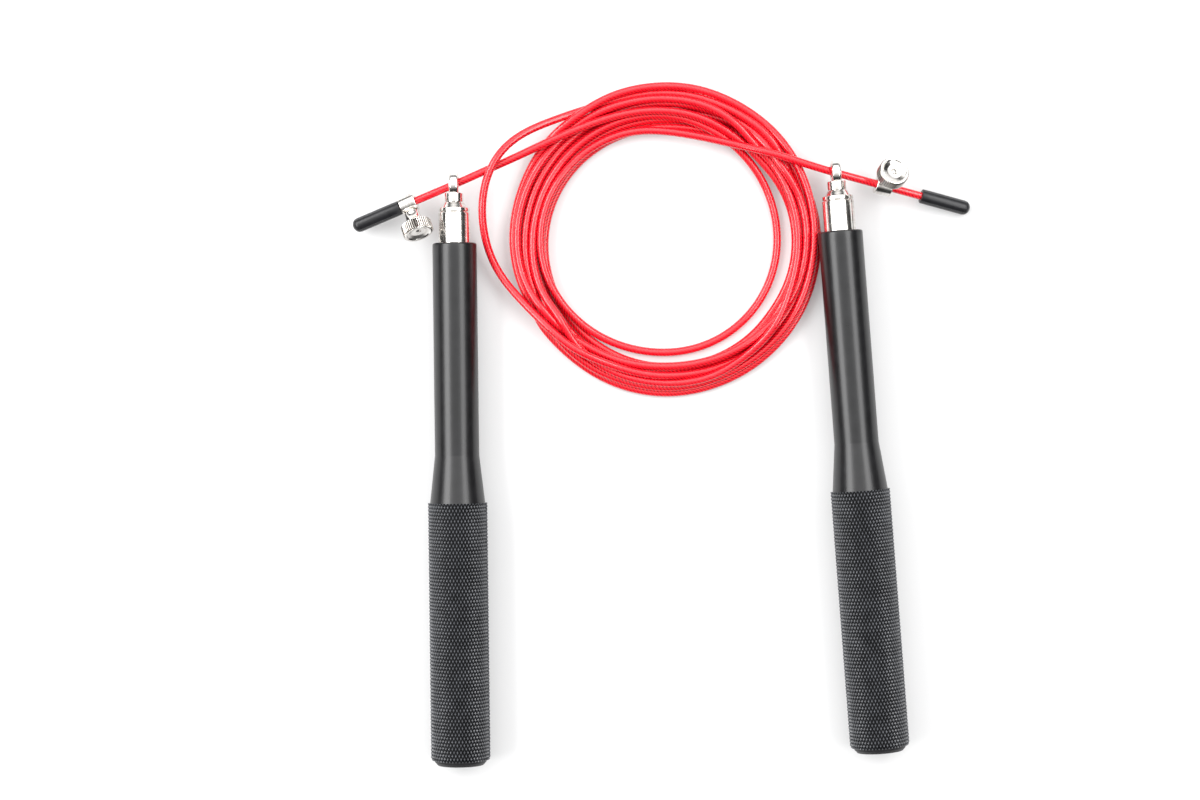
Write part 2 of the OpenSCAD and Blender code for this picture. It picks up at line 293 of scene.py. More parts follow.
def red_cable_coating():
    """Clear red vinyl over twisted wire: the lay of the wires shows as fine slanted ribs."""
    n = Nodes("red_cable_coating")
    waver = n.math("MULTIPLY", n.noise(420, 2), 0.5)
    turns = n.math("ADD", n.math("MULTIPLY", n.surface("X"), -WIRES_SHOWN),
                   n.math("MULTIPLY", n.surface("Y"), WIRE_TURNS_PER_MM))
    ribs = n.math("SINE", n.math("MULTIPLY", n.math("ADD", turns, waver), math.tau))
    wires = n.spread(ribs, 0, 1, -1.0, 0.35)
    patch = n.noise(160, 3)
    deep = n.mix(patch, (0.400, 0.0012, 0.0080, 1), (0.460, 0.0018, 0.0105, 1))
    bright = n.mix(patch, (0.840, 0.0070, 0.0180, 1), (0.920, 0.0100, 0.0230, 1))
    n.set(Base_Color=n.mix(wires, deep, bright),
          Roughness=n.spread(n.noise(700, 3), 0.24, 0.32), IOR=1.12,
          Coat_Weight=0.95, Coat_Roughness=0.13, Coat_IOR=1.58,
          Normal=n.bump(n.noise(900, 2), 0.00002, 0.25, n.bump(ribs, 0.0001, 0.65)))
    return n.material


def studio_floor():
    """Matt white, with a little light of its own so that it stays as pale as the photograph's."""
    n = Nodes("floor")
    n.set(Base_Color=n.mix(n.noise(14, 3), (0.530, 0.530, 0.532, 1), (0.545, 0.545, 0.546, 1)), Roughness=0.7,
          Specular_IOR_Level=0.15, Emission_Color=(1.0, 1.0, 1.0, 1), Emission_Strength=0.20)
    return n.material


MATERIALS = {
    "anodised_aluminium": anodised_aluminium(),
    "black_plastic": black_plastic(),
    "nickel_plate": nickel_plate(),
    "bearing_steel": plain_metal("bearing_steel", (0.52, 0.52, 0.53), (0.66, 0.66, 0.67), 0.08, 2400),
    "cage_brass": plain_metal("cage_brass", (0.66, 0.44, 0.17), (0.80, 0.57, 0.26), 0.22, 1500),
    "plain_steel": plain_metal("plain_steel", (0.38, 0.37, 0.37), (0.52, 0.51, 0.50), 0.28, 1800),
    "soft_black_cap": soft_black_cap(),
    "red_cable_coating": red_cable_coating(),
}


# ---------------------------------------------------------------- mesh tools

class Place:
    """Where a piece's own frame (mm) lies in the row frame (m)."""

    def __init__(self, origin, z_axis, x_axis):
        self.origin = np.array(origin, float)
        self.z = np.array(z_axis, float) / np.linalg.norm(z_axis)
        x = np.array(x_axis, float) - self.z * (np.array(x_axis, float) @ self.z)
        self.x = x / np.linalg.norm(x)
        self.y = np.cross(self.z, self.x)

    def points(self, local):
        """Local points in mm as points of the row frame in m."""
        local = np.asarray(local, float) * MM
        return self.origin + local[:, :1] * self.x + local[:, 1:2] * self.y + local[:, 2:3] * self.z


def add_piece(name, mesh, slot, crease=32):
    """Makes an object of a closed mesh: outward faces, smooth but for its sharp edges."""
    work = bmesh.new()
    work.from_mesh(mesh)
    bmesh.ops.recalc_face_normals(work, faces=work.faces)
    for face in work.faces:
        face.smooth = True
    for edge in work.edges:
        edge.smooth = not (edge.is_manifold and edge.calc_face_angle(0) > math.radians(crease))
    work.to_mesh(mesh)
    work.free()
    mesh.materials.clear()
    mesh.materials.append(MATERIALS[slot])
    piece = bpy.data.objects.new(name, mesh)
    bpy.context.scene.collection.objects.link(piece)
    return piece


def build_mesh(name, points, faces, uvs):
    """A mesh of points in m, with a UV layer in the surface's own coordinates."""
    mesh = bpy.data.meshes.new(name)
    mesh.from_pydata([tuple(p) for p in points], [], faces)
    layer = mesh.uv_layers.new(name="surface")
    layer.data.foreach_set("uv", np.array([c for face in uvs for c in face], float).ravel())
    return mesh


def rounded(profile, radius=0.15, steps=4, closed=False):
    """A profile of (r, z) or (r, z, corner radius) points with each corner rounded off."""
    points = [np.array(p[:2], float) for p in profile]
    radii = [p[2] if len(p) > 2 else radius for p in profile]
    out, count = [], len(points)
    for i, here in enumerate(points):
        if not closed and i in (0, count - 1):
            out.append(here)
            continue
        before, after = points[i - 1] - here, points[(i + 1) % count] - here
        la, lb = np.linalg.norm(before), np.linalg.norm(after)
        before, after = before / la, after / lb
        angle = math.acos(max(-1.0, min(1.0, float(before @ after))))
        if radii[i] <= 0 or angle > 3.1:
            out.append(here)
            continue
        cut = min(radii[i] / math.tan(angle / 2), 0.45 * la, 0.45 * lb)
        bend = cut * math.tan(angle / 2)
        middle = here + (before + after) / np.linalg.norm(before + after) * bend / math.sin(angle / 2)
        first, last = here + before * cut - middle, here + after * cut - middle
        sweep = math.pi - angle
        for k in range(steps + 1):
            t = k / steps
            lean = (math.sin((1 - t) * sweep) * first + math.sin(t * sweep) * last) / math.sin(sweep)
            out.append(middle + lean)
    return out


def revolve(name, profile, place, around=96, closed=False, angles=None, radius_at=None):
    """Turns a profile of (r, z) points round the frame's z axis. radius_at may vary the radius round it, and
    the attribute "inset" holds how far in each point then lies, in mm."""
    if angles is None:
        angles = np.linspace(0, math.tau, around, endpoint=False)
    around = len(angles)
    points, rings, inset = [], [], []
    for r, z in profile:
        if r < 1e-6:
            rings.append([len(points)])
            points.append((0, 0, z))
            inset.append(0.0)
        else:
            rings.append(range(len(points), len(points) + around))
            reach = [radius_at(r, z, a) if radius_at else r for a in angles]
            points += [(d * math.cos(a), d * math.sin(a), z) for d, a in zip(reach, angles)]
            inset += [r - d for d in reach]
    run = np.concatenate([[0], np.cumsum([math.dist(a, b) for a, b in zip(profile, profile[1:])])])
    faces, uvs = [], []
    turns = list(angles / math.tau) + [1.0]
    pairs = [(i, i + 1) for i in range(len(rings) - 1)] + ([(len(rings) - 1, 0)] if closed else [])
    for i, j in pairs:
        a, b, s, t = rings[i], rings[j], run[i], run[j] if j else run[-1] + 1
        for k in range(around):
            m, u, v = (k + 1) % around, turns[k], turns[k + 1]
            if len(a) == 1 and len(b) == 1:
                continue
            if len(a) == 1:
                faces.append((a[0], b[k], b[m]))
                uvs.append(((u, s), (u, t), (v, t)))
            elif len(b) == 1:
                faces.append((a[k], b[0], a[m]))
                uvs.append(((u, s), (u, t), (v, s)))
            else:
                faces.append((a[k], b[k], b[m], a[m]))
                uvs.append(((u, s), (u, t), (v, t), (v, s)))
    mesh = build_mesh(name, place.points(points), faces, uvs)
    mesh.attributes.new("inset", "FLOAT", "POINT").data.foreach_set("value", inset)
    return mesh


def combine(name, first, second, operation):
    """Joins or cuts two closed meshes into one."""
    objects = [bpy.data.objects.new("work", mesh) for mesh in (first, second)]
    for thing in objects:
        bpy.context.scene.collection.objects.link(thing)
    cut = objects[0].modifiers.new("cut", "BOOLEAN")
    cut.operation, cut.solver, cut.object = operation, "EXACT", objects[1]
    bpy.context.view_layer.update()
    result = bpy.data.meshes.new_from_object(objects[0].evaluated_get(bpy.context.evaluated_depsgraph_get()))
    result.name = name
    for thing in objects:
        bpy.data.objects.remove(thing)
    return result


def finish_piece(piece, body, slot, *nodes):
    """Gives a piece its body and hides the CAD nodes that it replaces. The slot argument is not used."""
    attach(piece, body)
    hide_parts(*nodes)
    return piece


# ---------------------------------------------------------------- handles and heads

BARREL_R, CONE_R, GRIP_R, BORE_R = 7.0, 8.7, 9.35, 5.5
BARREL_END, GRIP_START, GRIP_END = -67.0, -82.0, -163.0
KNURL_AROUND, KNURL_PITCH, KNURL_DEPTH, KNURL_FLAT = 52, 2.2, 0.58, 0.2
EDGE_DEPTH, EDGE_LENGTH = 0.45, 0.55     # how the grip's points draw in at the butt
PLUG_R, PLUG_FACE_R, PLUG_LENGTH, PLUG_DEPTH = 8.25, 7.2, 1.6, 10.0
SNOUT_R, SNOUT_END, HOUSING_DEPTH = 5.0, 9.6, 12.0
RIM_R, RIM_TOP, CONE_TOP, SEAM = 4.85, 11.1, 12.8, 0.22
FRONT_SEAT, BEARING_R, BEARING_W, SHOULDER_R = 9.0, 4.0, 4.0, 3.6
SPINDLE_R, SPINDLE_END, NECK_R = 1.5, -17.2, 2.0
COLLAR_R, COLLAR_BASE, COLLAR_TOP = 2.95, 13.0, 15.8
EYE_REACH, EYE_HOLE_R, EYE_R, EYE_HALF = 18.5, 2.06, 3.95, 1.575


def handle_place(side):
    """A handle's own frame: its mouth at the origin, z out of it, along the axis that it spins on."""
    spin = JOINTS[side + "_handle_spin"]
    axis = np.array(spin["axis"])
    return Place(spin["pos_m"], axis, np.cross(axis, (0, 0, 1)))


def grip_radius(z):
    """The grip's radius over its points: full, but drawn in at the butt's rounded edge."""
    close = max(0.0, z - GRIP_END)
    return GRIP_R - (EDGE_DEPTH * (1 - close / EDGE_LENGTH) ** 2 if close < EDGE_LENGTH else 0.0)


def handle_shell(side, place):
    """The turned tube: smooth barrel, cone, diamond knurl and bore, as one closed mesh."""
    step = math.tau / (2 * KNURL_AROUND)
    rows = 2 * round((GRIP_START - GRIP_END) / KNURL_PITCH)
    half = (GRIP_START - GRIP_END) / rows
    flat = KNURL_FLAT
    points, heights, faces, uvs, seen = [], [], [], [], {}

    def vertex(column, row, raised):
        key = (round(column * 100) % (200 * KNURL_AROUND), round(row * 100), raised)
        if key not in seen:
            seen[key] = len(points)
            z = GRIP_START - row * half
            r = grip_radius(z) - (0 if raised else KNURL_DEPTH)
            points.append((r * math.cos(column * step), r * math.sin(column * step), z))
            heights.append(1.0 if raised else GROOVE_HEIGHT)
        return seen[key]

    def face(*corners):
        faces.append([vertex(*c) for c in corners])
        uvs.append([(c[0] / (2 * KNURL_AROUND), -(GRIP_START - c[1] * half)) for c in corners])

    for row in range(rows + 1):
        for column in range(row % 2, 2 * KNURL_AROUND, 2):
            low = {"w": (column - 1, row, False), "n": (column, row - 1, False),
                   "e": (column + 1, row, False), "s": (column, row + 1, False)}
            top = {"w": (column - flat, row, True), "n": (column, row - flat, True),
                   "e": (column + flat, row, True), "s": (column, row + flat, True)}
            sides = [pair for pair in ("wn", "ne", "es", "sw")
                     if not (row == 0 and "n" in pair) and not (row == rows and "s" in pair)]
            face(*[top[k] for k in "wnes" if not (row == 0 and k == "n") and not (row == rows and k == "s")])
            for a, b in sides:
                face(low[a], low[b], top[b], top[a])

    columns = [c for k in range(KNURL_AROUND)
               for c in ((2 * k - flat, True), (2 * k + flat, True), (2 * k + 1, False))]
    front = [vertex(c, 0, raised) for c, raised in columns]
    back = [vertex(c + rows % 2, rows, raised) for c, raised in columns]
    slope = (CONE_R - BARREL_R) / (BARREL_END - GRIP_START)
    outer = rounded([
        (BORE_R, 0), (BARREL_R, 0, 0.85), (BARREL_R, -2.4), (BARREL_R, BARREL_END + 1),
        (BARREL_R, BARREL_END, 3.0), (BARREL_R + slope, BARREL_END - 1), (CONE_R, GRIP_START)], 0.2, 5)
    angles = [c * step for c, _ in columns]

    def ring(r, z):
        start = len(points)
        points.extend((r * math.cos(a), r * math.sin(a), z) for a in angles)
        heights.extend([0.0] * len(angles))
        return list(range(start, start + len(angles)))

    def skirt(first, last, s, t):
        for k in range(len(angles)):
            m = (k + 1) % len(angles)
            u, v = angles[k] / math.tau, (angles[k + 1] if m else angles[0] + math.tau) / math.tau
            faces.append([first[k], last[k], last[m], first[m]])
            uvs.append([(u, s), (u, t), (v, t), (v, s)])

    rings = [(ring(*p), p) for p in outer]
    for (a, p), (b, q) in zip(rings, rings[1:]):
        skirt(a, b, -p[1], -q[1])
    skirt(rings[-1][0], front, -GRIP_START, -GRIP_START + 0.7)
    inside = ring(BORE_R, GRIP_END)
    skirt(back, inside, -GRIP_END, -GRIP_END + 3.5)
    skirt(inside, rings[0][0], -GRIP_END, 0)
    mesh = build_mesh(side + "_handle_shell", place.points(points), faces, uvs)
    mesh.attributes.new("height", "FLOAT", "POINT").data.foreach_set("value", heights)
    piece = add_piece(side + "_handle_shell", mesh, "anodised_aluminium", 24)
    return finish_piece(piece, side + "_handle", "anodised_aluminium", side + "_handle_tube")


def butt_plug(side, place):
    """The plug that closes the butt: a low flat button with a moulding mark at its centre."""
    end = GRIP_END - PLUG_LENGTH
    inner = GRIP_END + PLUG_DEPTH
    profile = rounded([
        (0, end + 0.35), (0.5, end + 0.3, 0.1), (0.9, end, 0.1), (PLUG_FACE_R, end, 0.3),
        (PLUG_R - 0.2, end + 0.95, 0.4), (PLUG_R, GRIP_END, 0.05), (BORE_R - 0.02, GRIP_END, 0.05),
        (BORE_R - 0.02, inner - 0.6, 0.1), (BORE_R - 0.6, inner, 0.1), (0, inner)])
    piece = add_piece(side + "_butt_end", revolve(side + "_butt_end", profile, place, 128), "black_plastic")
    return finish_piece(piece, side + "_handle", "black_plastic", side + "_butt_plug")


def housing(side, place):
    """The bearing housing: pressed into the handle, with a bearing seat at each end."""
    profile = rounded([
        (SHOULDER_R, FRONT_SEAT - BEARING_W), (BEARING_R, FRONT_SEAT - BEARING_W),
        (BEARING_R, SNOUT_END, 0.08), (SNOUT_R, SNOUT_END, 0.18), (SNOUT_R, 0.02, 0.02),
        (BORE_R - 0.02, 0.0, 0.05),
        (BORE_R - 0.02, -HOUSING_DEPTH, 0.3), (BEARING_R, -HOUSING_DEPTH, 0.1),
        (BEARING_R, -HOUSING_DEPTH + BEARING_W), (SHOULDER_R, -HOUSING_DEPTH + BEARING_W)], 0.05, 4, True)
    mesh = revolve(side + "_housing", profile, place, 128, True)
    piece = add_piece(side + "_housing", mesh, "nickel_plate")
    return finish_piece(piece, side + "_handle", "nickel_plate", side + "_bearing_housing")


def nose(side, place):
    """The nose cap: a thin dark seam, a short rim, a ledge and a cone up to the swivel collar."""
    bore = NECK_R + 0.3
    seat, face, rim = FRONT_SEAT + 0.02, SNOUT_END + 0.02, SNOUT_END + SEAM
    profile = rounded([
        (bore, seat), (BEARING_R - 0.02, seat), (BEARING_R - 0.02, face, 0.02), (RIM_R - 0.45, face, 0.02),
        (RIM_R - 0.45, rim, 0.02), (RIM_R - 0.12, rim, 0.05), (RIM_R, rim + 0.14, 0.08),
        (RIM_R, RIM_TOP, 0.22), (RIM_R - 0.85, RIM_TOP, 0.1), (COLLAR_R + 0.15, CONE_TOP, 0.12),
        (bore, CONE_TOP, 0.06)], 0.05, 4, True)
    piece = add_piece(side + "_nose", revolve(side + "_nose", profile, place, 128, True), "nickel_plate")
    return finish_piece(piece, side + "_handle", "nickel_plate", side + "_nose_cap")


def shoulders(place, across):
    """The web that carries the ring's sides down into the collar, either side of the eye's hole."""
    count, half = 28, EYE_HALF - 0.1
    foot, head = (COLLAR_TOP - 0.6, 2.5), (EYE_REACH - 1.5, 3.3)    # the height and half width at each end

    def swell(value, power):
        return math.copysign(abs(value) ** power, value)

    turn = [math.tau * (k + 0.5) / count for k in range(count)]
    outline = [(swell(math.cos(a), 0.8), swell(math.sin(a), 0.5)) for a in turn]
    points = [(x * half, y * reach, z) for z, reach in (foot, head) for x, y in outline]
    faces = [list(range(count))[::-1], list(range(count, 2 * count))]
    faces += [[k, (k + 1) % count, count + (k + 1) % count, count + k] for k in range(count)]
    web = build_mesh("web", place.points(points), faces, [[(0, 0)] * len(face) for face in faces])
    hole = revolve("hole", [(0, -3), (EYE_HOLE_R + 0.2, -3), (EYE_HOLE_R + 0.2, 3), (0, 3)], across, 48)
    return combine("web", web, hole, "DIFFERENCE")


def eye(side, place):
    """The eye bolt: a rounded ring on a short stem and collar, with its spindle through the bearings."""
    edge = (EYE_R - EYE_HOLE_R) / 2
    flat = EYE_HALF - edge
    section = [(EYE_HOLE_R + edge + edge * math.cos(a), math.copysign(flat, math.sin(a)) + edge * math.sin(a))
               for a in np.linspace(0.06, math.tau + 0.06, 33)[:-1]]
    across = Place(place.origin + place.z * EYE_REACH * MM, place.x, place.z)
    ring = revolve("ring", section, across, 96, True)
    stem = revolve("stem", rounded([
        (0, SPINDLE_END), (SPINDLE_R, SPINDLE_END, 0.3), (SPINDLE_R, FRONT_SEAT, 0.02),
        (NECK_R, FRONT_SEAT, 0.1), (NECK_R, COLLAR_BASE, 0.05), (COLLAR_R, COLLAR_BASE, 0.12),
        (COLLAR_R, COLLAR_TOP - 0.18, 0.12), (COLLAR_R - 0.2, COLLAR_TOP, 0.08),
        (1.7, COLLAR_TOP, 0.3), (1.35, COLLAR_TOP + 0.45, 0.3),
        (0, COLLAR_TOP + 0.45)], 0.05, 5), place, 96)
    shank = combine("shank", stem, shoulders(place, across), "UNION")
    mesh = combine(side + "_eye", shank, ring, "UNION")
    piece = add_piece(side + "_eye", mesh, "nickel_plate", 38)
    return finish_piece(piece, side + "_swivel", "nickel_plate", side + "_eye_bolt")


# ---------------------------------------------------------------- stops, thumb screws and end caps

STOP_R, STOP_HALF, STOP_BORE_R = 3.0, 2.6, 1.5
SCREW_TIP, SHANK_R, SCREW_NECK_R, NECK_START = 1.45, 1.5, 2.35, 3.3
FLARE_R, SCREW_RIM, SCREW_REACH, HEAD_R, TEETH = 3.4, 7.6, 11.2, 4.9, 44
TOOTH_DEPTH = 0.34
CAP_R, CAP_LENGTH, CAP_BORE_R = 2.4, 16.4, 1.27
RIDGE_HEIGHT, RIDGE_WIDTH = 0.09, 0.12   # the cap's ridges, in mm and as a share of a quarter turn's cosine


def tail_line(side):
    """The straight line of a cable end: the eye's centre, and the way towards its end cap."""
    eye_point = np.array(JOINTS[side + "_eye_swing"]["pos_m"])
    stop_point = np.array(JOINTS[side + "_screw_turn"]["pos_m"])
    return eye_point, (stop_point - eye_point) / np.linalg.norm(stop_point - eye_point)


def stop(side):
    """The stop collar on the cable, with the thumb screw's hole in its side."""
    direction = tail_line(side)[1]
    screw = JOINTS[side + "_screw_turn"]
    place = Place(screw["pos_m"], direction, screw["axis"])
    profile = rounded([(STOP_BORE_R, -STOP_HALF, 0.2), (STOP_R, -STOP_HALF, 0.3), (STOP_R, STOP_HALF, 0.3),
                       (STOP_BORE_R, STOP_HALF, 0.2)], 0.2, 5, True)
    collar = revolve("collar", profile, place, 96, True)
    hole = revolve("hole", [(0, 1.0), (SHANK_R + 0.06, 1.0), (SHANK_R + 0.06, 4.0), (0, 4.0)],
                   Place(screw["pos_m"], screw["axis"], direction), 48)
    mesh = combine(side + "_stop_ring", collar, hole, "DIFFERENCE")
    piece = add_piece(side + "_stop_ring", mesh, "nickel_plate")
    return finish_piece(piece, side + "_stop", "nickel_plate", side + "_stop_collar")


def serrated(r, z, angle):
    """Straight knurling round the thumb screw's rim."""
    if z < SCREW_RIM - 0.1:
        return r
    outward = max(0.0, min(1.0, (r - HEAD_R + 0.4) / 0.35))
    depth = TOOTH_DEPTH * outward * min(1.0, (z - SCREW_RIM + 0.1) / 0.4)
    phase = (angle * TEETH / math.tau) % 1
    return r - depth * (1 - min(1.0, 1.45 * (1 - abs(2 * phase - 1))))


def thumb_screw(side):
    """The thumb screw: shank, flared neck and a dished head with a pip at its centre."""
    direction = tail_line(side)[1]
    screw = JOINTS[side + "_screw_turn"]
    place = Place(screw["pos_m"], screw["axis"], direction)
    flare = [(SCREW_NECK_R + FLARE_R * (1 - math.cos(a)), SCREW_RIM - FLARE_R + FLARE_R * math.sin(a))
             for a in np.linspace(0.12, 1.2, 12)]
    profile = rounded([
        (0, SCREW_TIP), (SHANK_R - 0.25, SCREW_TIP, 0.1), (SHANK_R, SCREW_TIP + 0.3, 0.1),
        (SHANK_R, NECK_START, 0.02), (SCREW_NECK_R, NECK_START, 0.2),
        (SCREW_NECK_R, SCREW_RIM - FLARE_R, 0.0)]
        + [(r, z, 0.0) for r, z in flare]
        + [(HEAD_R, SCREW_RIM + 0.05, 0.15), (HEAD_R, SCREW_RIM + 0.5, 0), (HEAD_R, SCREW_RIM + 1.6, 0),
           (HEAD_R, SCREW_REACH - 0.42, 0.12), (HEAD_R - 0.42, SCREW_REACH, 0.2), (3.9, SCREW_REACH, 0.15),
           (3.6, SCREW_REACH - 0.35, 0.2), (2.3, SCREW_REACH - 0.85, 0.9), (0.95, SCREW_REACH - 0.95, 0.3),
           (0.6, SCREW_REACH - 0.6, 0.2), (0, SCREW_REACH - 0.52)], 0.1, 4)
    mesh = revolve(side + "_thumb_knob", profile, place, 4 * TEETH, radius_at=serrated)
    piece = add_piece(side + "_thumb_knob", mesh, "nickel_plate", 30)
    return finish_piece(piece, side + "_screw", "nickel_plate", side + "_thumb_screw")


def ribbed(r, z, angle):
    """Four thin moulded ridges along the cap."""
    if r <= CAP_BORE_R + 0.2:
        return r
    return r + RIDGE_HEIGHT * max(0.0, 1 - abs(math.cos(2 * angle)) / RIDGE_WIDTH)


def cap(side):
    """The moulded vinyl cap, with its ridges and the step round its domed end."""
    eye_point, direction = tail_line(side)
    low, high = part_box(side + "_end_cap")
    outermost = low[0] + CAP_R * MM if side == "left" else high[0] - CAP_R * MM
    tip_centre = eye_point + direction * (outermost - eye_point[0]) / direction[0]
    place = Place(tip_centre - direction * (CAP_LENGTH - CAP_R) * MM, direction, (0, 0, 1))
    dome = CAP_LENGTH - CAP_R
    tip = [(CAP_R * math.cos(a), dome + CAP_R * math.sin(a), 0.0) for a in np.linspace(0.42, math.pi / 2, 12)]
    tip[-1] = (0, CAP_LENGTH)
    profile = rounded([
        (0, CAP_LENGTH - 3.0), (CAP_BORE_R, CAP_LENGTH - 3.1, 0.2), (CAP_BORE_R, 0.0, 0.12),
        (CAP_R - 0.15, 0.0, 0.28), (CAP_R - 0.1, 2.2, 1.0), (CAP_R - 0.1, dome + 0.45, 0.1),
        (CAP_R - 0.2, dome + 0.55, 0.05)] + tip, 0.1, 4)
    mesh = revolve(side + "_cap", profile, place, 120, radius_at=ribbed)
    piece = add_piece(side + "_cap", mesh, "soft_black_cap")
    return finish_piece(piece, "cable", "soft_black_cap", side + "_end_cap")


# ---------------------------------------------------------------- the cable's route

def tail_way(side):
    """A cable end's way out from its eye, along the hinge line that its handle swings on."""
    hinge = np.round(JOINTS[side + "_eye_swing"]["axis"], 5)
    return hinge * np.sign(hinge @ tail_line(side)[1])


ROPE_SPACING = 1.0                # between the route's samples, mm
ROPE_D = 2.5                      # cable diameter over its coating, mm
COIL_CENTRE = np.array([-1.1, 70.6])
EYE = {side: np.round(np.array(JOINTS[side + "_eye_swing"]["pos_m"]) / MM, 3) for side in SIDES}
TAIL_DIR = {side: tail_way(side) for side in SIDES}
TAIL_END = {"left": 31.0, "right": 41.0}   # from the eye to the end inside the cap, mm
# Where the straight ends have points, from the eye towards the cap, mm
TAIL_STEPS = {"left": (TAIL_END["left"], 20, 10, 4, -2, -6),
              "right": (-5, 0, 6, 14, 24, 32, TAIL_END["right"])}

# Where each clockwise turn lies: its radius at the left, top, right and bottom of the coil, mm. How many
# turns lie hidden in the bundle, and where, is guessed.
LANES = [
    (38.6, 36.2, 44.6, 43.0),
    (41.1, 38.7, 47.1, 45.5),
    (43.6, 41.2, 48.4, 48.6),
    (46.1, 46.2, 45.9, 43.1),
    (57.0, 46.9, 43.4, 41.8),
    (48.6, 48.7, 47.1, 46.8),
    (44.8, 43.7, 44.6, 40.4),
    (47.3, 44.9, 42.3, 45.6),
    (42.3, 39.9, 35.8, 35.8),
    (39.9, None, None, None),
]
# The first turn, from the left tail: angle in degrees (top is 90 and left is 180) and radius in mm
FIRST_TURN = [(157.8, 60.0), (154.1, 55.9), (143.5, 49.9), (134, 46.2), (117.4, 43.0), (97.4, 41.2),
              (77.2, 40.3), (55.4, 39.6), (40.2, 39.5), (25.6, 40.7), (11.8, 41.3), (0, 41.6),
              (-90, 40.5)]
# The loose turn that stands off the left of the coil
OUTER_LOOP = [(212.3, 46.5), (205.7, 48.8), (199.7, 50.4), (192, 54.1), (184.4, 56.2), (180, 57.0),
              (170.8, 58.95), (161.2, 59.8), (152, 59.5), (147.8, 58.0), (139.5, 54.6), (132, 50.9),
              (122, 48.2), (108, 47.0)]
LOOP_TURN = 5
# How the turn of the single strand on the right draws in: degrees past the left, and radius
SINGLE_TURN, SINGLE_KNOTS = 9, [(120, 37.6), (135, 36.8)]
# The end of the last turn, and then the points (x, y) on to the right eye
LAST_TURN = [(135, 38.2), (115, 36.6), (105, 36.7)]
RIGHT_LEAD = [(-2.9, 105.2), (7.9, 103.8), (19.0, 101.2), (29.8, 98.4), (37.5, 96.0), (42.5, 94.5)]

PLAN_SMOOTHING, KEPT_END = 3.5, 20     # mm
END_SAMPLES = 80                       # the straight ends lie within this many samples
# Piles of turns higher than SQUASH_FROM are pressed down, to at most SQUASH_ROOM above it, mm
SQUASH_FROM, SQUASH_ROOM = 3.75, 3.6
# The order in which stretches are laid: the turn angles where each starts and ends, and whether it is pressed
# down. What is laid later lies on top.
LAY_ORDER = [(430, 525, True), (135, 430, True), (525, 1710, True), (1840, 3640, True), (0, 135, True),
             (1710, 1795, True), (1795, 1840, False), (3640, 4000, True)]


def tail_point(side, distance):
    """A point on a cable end, at a distance from its eye towards its cap, in mm."""
    return EYE[side] + TAIL_DIR[side] * distance


def pchip(x, y, xs):
    """Shape-keeping cubic through (x, y), sampled at xs."""
    h, slope = np.diff(x), np.diff(y) / np.diff(x)
    m = np.zeros(len(x))
    m[0], m[-1] = slope[0], slope[-1]
    same = slope[:-1] * slope[1:] > 0
    w1, w2 = 2 * h[1:] + h[:-1], h[1:] + 2 * h[:-1]
    with np.errstate(divide="ignore", invalid="ignore"):
        mid = (w1 + w2) / (w1 / slope[:-1] + w2 / slope[1:])
    m[1:-1] = np.where(same, mid, 0)
    k = np.clip(np.searchsorted(x, xs) - 1, 0, len(h) - 1)
    t = (xs - x[k]) / h[k]
    return ((2 * t**3 - 3 * t**2 + 1) * y[k] + (t**3 - 2 * t**2 + t) * h[k] * m[k]
            + (3 * t**2 - 2 * t**3) * y[k + 1] + (t**3 - t**2) * h[k] * m[k + 1])


def smooth(values, sigma, keep=0):
    """Gaussian smoothing along axis 0, in samples, with the first and last keep samples held."""
    reach = int(3 * sigma) + 1
    kernel = np.exp(-0.5 * (np.arange(-reach, reach + 1) / sigma) ** 2)
    kernel /= kernel.sum()
    v = values if values.ndim > 1 else values[:, None]
    head = 2 * v[0] - v[reach:0:-1]
    foot = 2 * v[-1] - v[-2:-reach - 2:-1]
    wide = np.concatenate([head, v, foot])
    out = np.stack([np.convolve(wide[:, k], kernel, "valid") for k in range(v.shape[1])], axis=1)
    if keep:
        out[:keep], out[-keep:] = v[:keep], v[-keep:]
    return out if values.ndim > 1 else out[:, 0]


def plan_route():
    """The rope's plan view, cap to cap, and the turn angle (degrees clockwise) along it."""
    knots = [(180 - a, r) for a, r in FIRST_TURN]
    for n, lane in enumerate(LANES, 1):
        for k, r in enumerate(lane):
            if r is not None and not (n == LOOP_TURN and k == 0):
                knots.append((360 * n + 90 * k, r))
    knots += [(360 * LOOP_TURN + 180 - a, r) for a, r in OUTER_LOOP]
    knots += [(360 * len(LANES) + 180 - a, r) for a, r in LAST_TURN]
    knots += [(360 * SINGLE_TURN + past, r) for past, r in SINGLE_KNOTS]
    knots.sort()
    u, r = np.array(knots).T
    turn = np.arange(u[0], u[-1] + 0.1, 2.0)
    radius = pchip(u, r, turn)
    a = np.radians(180 - turn)
    coil = COIL_CENTRE + radius[:, None] * np.stack([np.cos(a), np.sin(a)], axis=1)
    left, right = ([tail_point(side, d)[:2] for d in TAIL_STEPS[side]] for side in SIDES)
    points = np.concatenate([left, coil, np.array(RIGHT_LEAD), right])
    angle = np.concatenate([np.full(len(left), turn[0]), turn,
                            np.full(len(RIGHT_LEAD) + len(right), turn[-1])])
    return points, angle


